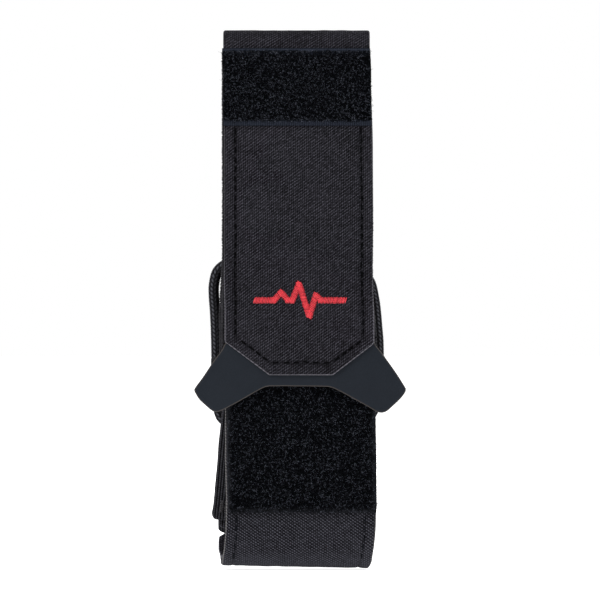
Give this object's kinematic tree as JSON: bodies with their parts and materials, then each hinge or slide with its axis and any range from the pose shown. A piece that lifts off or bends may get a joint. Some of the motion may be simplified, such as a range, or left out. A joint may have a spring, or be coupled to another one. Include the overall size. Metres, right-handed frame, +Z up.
{
  "type": "tourniquet in wrap-around carrier",
  "caption": "Folded windlass tourniquet held in a webbing wrap-around carrier with a pointed hook-and-loop flap, bow-tie pull tab and elastic retention cord.",
  "frame": {"origin": "centre of the carrier's flat back face, halfway between the upper and lower folds", "axes": "+Z up along the band, +X across the band to the viewer's right, +Y out of the back face; the front with the flap looks along -Y"},
  "size_m": [0.0566, 0.0283, 0.1434],
  "materials": {
    "band_webbing": "plain twill-woven nylon, matt",
    "lining_cloth": "light nylon lining",
    "thread_black": "bonded nylon thread",
    "elastic_cord": "braided elastic cord",
    "ferrule_metal": "black crimp sleeve",
    "flap_twill": "twill-woven nylon, matt",
    "hook_tape": "hook tape",
    "loop_pile": "brushed loop pile",
    "coated_tab": "coated fabric, matt, clean-cut edge",
    "thread_red": "satin-stitched polyester thread",
    "strap_webbing": "ribbed nylon webbing",
    "plate_plastic": "moulded, matt",
    "tag_white": "writable coated tape, blank",
    "rod_plastic": "filled nylon, ribbed grips"
  },
  "bodies": {
    "carrier": {"band_wrap": "band_webbing", "tunnel_lining": "lining_cloth", "tunnel_stitching": "thread_black", "retention_cord": "elastic_cord", "cord_ferrule": "ferrule_metal", "rear_tail": "band_webbing"},
    "flap": {"flap_face": "flap_twill", "flap_lining": "lining_cloth", "flap_hook_patch": "hook_tape", "flap_loop_patch": "loop_pile", "flap_stitching": "thread_black", "pull_tab": "coated_tab", "flap_mark": "thread_red"},
    "pocket": {"pocket_panel": "flap_twill", "pocket_loop_patch": "loop_pile", "pocket_stitching": "thread_black"},
    "tourniquet": {"strap_stack": "strap_webbing", "strap_tail": "strap_webbing", "strap_bartacks": "thread_black", "base_plate": "plate_plastic", "buckle_frame": "plate_plastic", "buckle_bar": "plate_plastic", "time_tag": "tag_white"},
    "windlass": {"windlass_rod": "rod_plastic", "rod_end_caps": "plate_plastic", "ribbon_loop": "strap_webbing"},
    "keeper": {"rod_keeper": "plate_plastic"}
  },
  "joints": [
    {"name": "flap_open", "type": "hinge", "parent": "carrier", "child": "flap", "pos_m": [0, -0.02765, 0.0667], "axis": [-1, 0, 0], "range_deg": [0, 165]},
    {"name": "pocket_open", "type": "hinge", "parent": "carrier", "child": "pocket", "pos_m": [0, -0.022, -0.0627], "axis": [1, 0, 0], "range_deg": [0, 66]},
    {"name": "tourniquet_draw", "type": "slide", "parent": "carrier", "child": "tourniquet", "axis": [1, 0, 0], "range_m": [0, 0.065]},
    {"name": "windlass_turn", "type": "hinge", "parent": "tourniquet", "child": "windlass", "pos_m": [0, -0.01595, 0], "axis": [0, -1, 0], "range_deg": [0, 540]},
    {"name": "keeper_slide", "type": "slide", "parent": "tourniquet", "child": "keeper", "axis": [0, 0, 1], "range_m": [0, 0.008]}
  ],
  "couplings": [
    {"joint": "pocket_open", "follows": "flap_open", "ratio": 0.4}
  ]
}
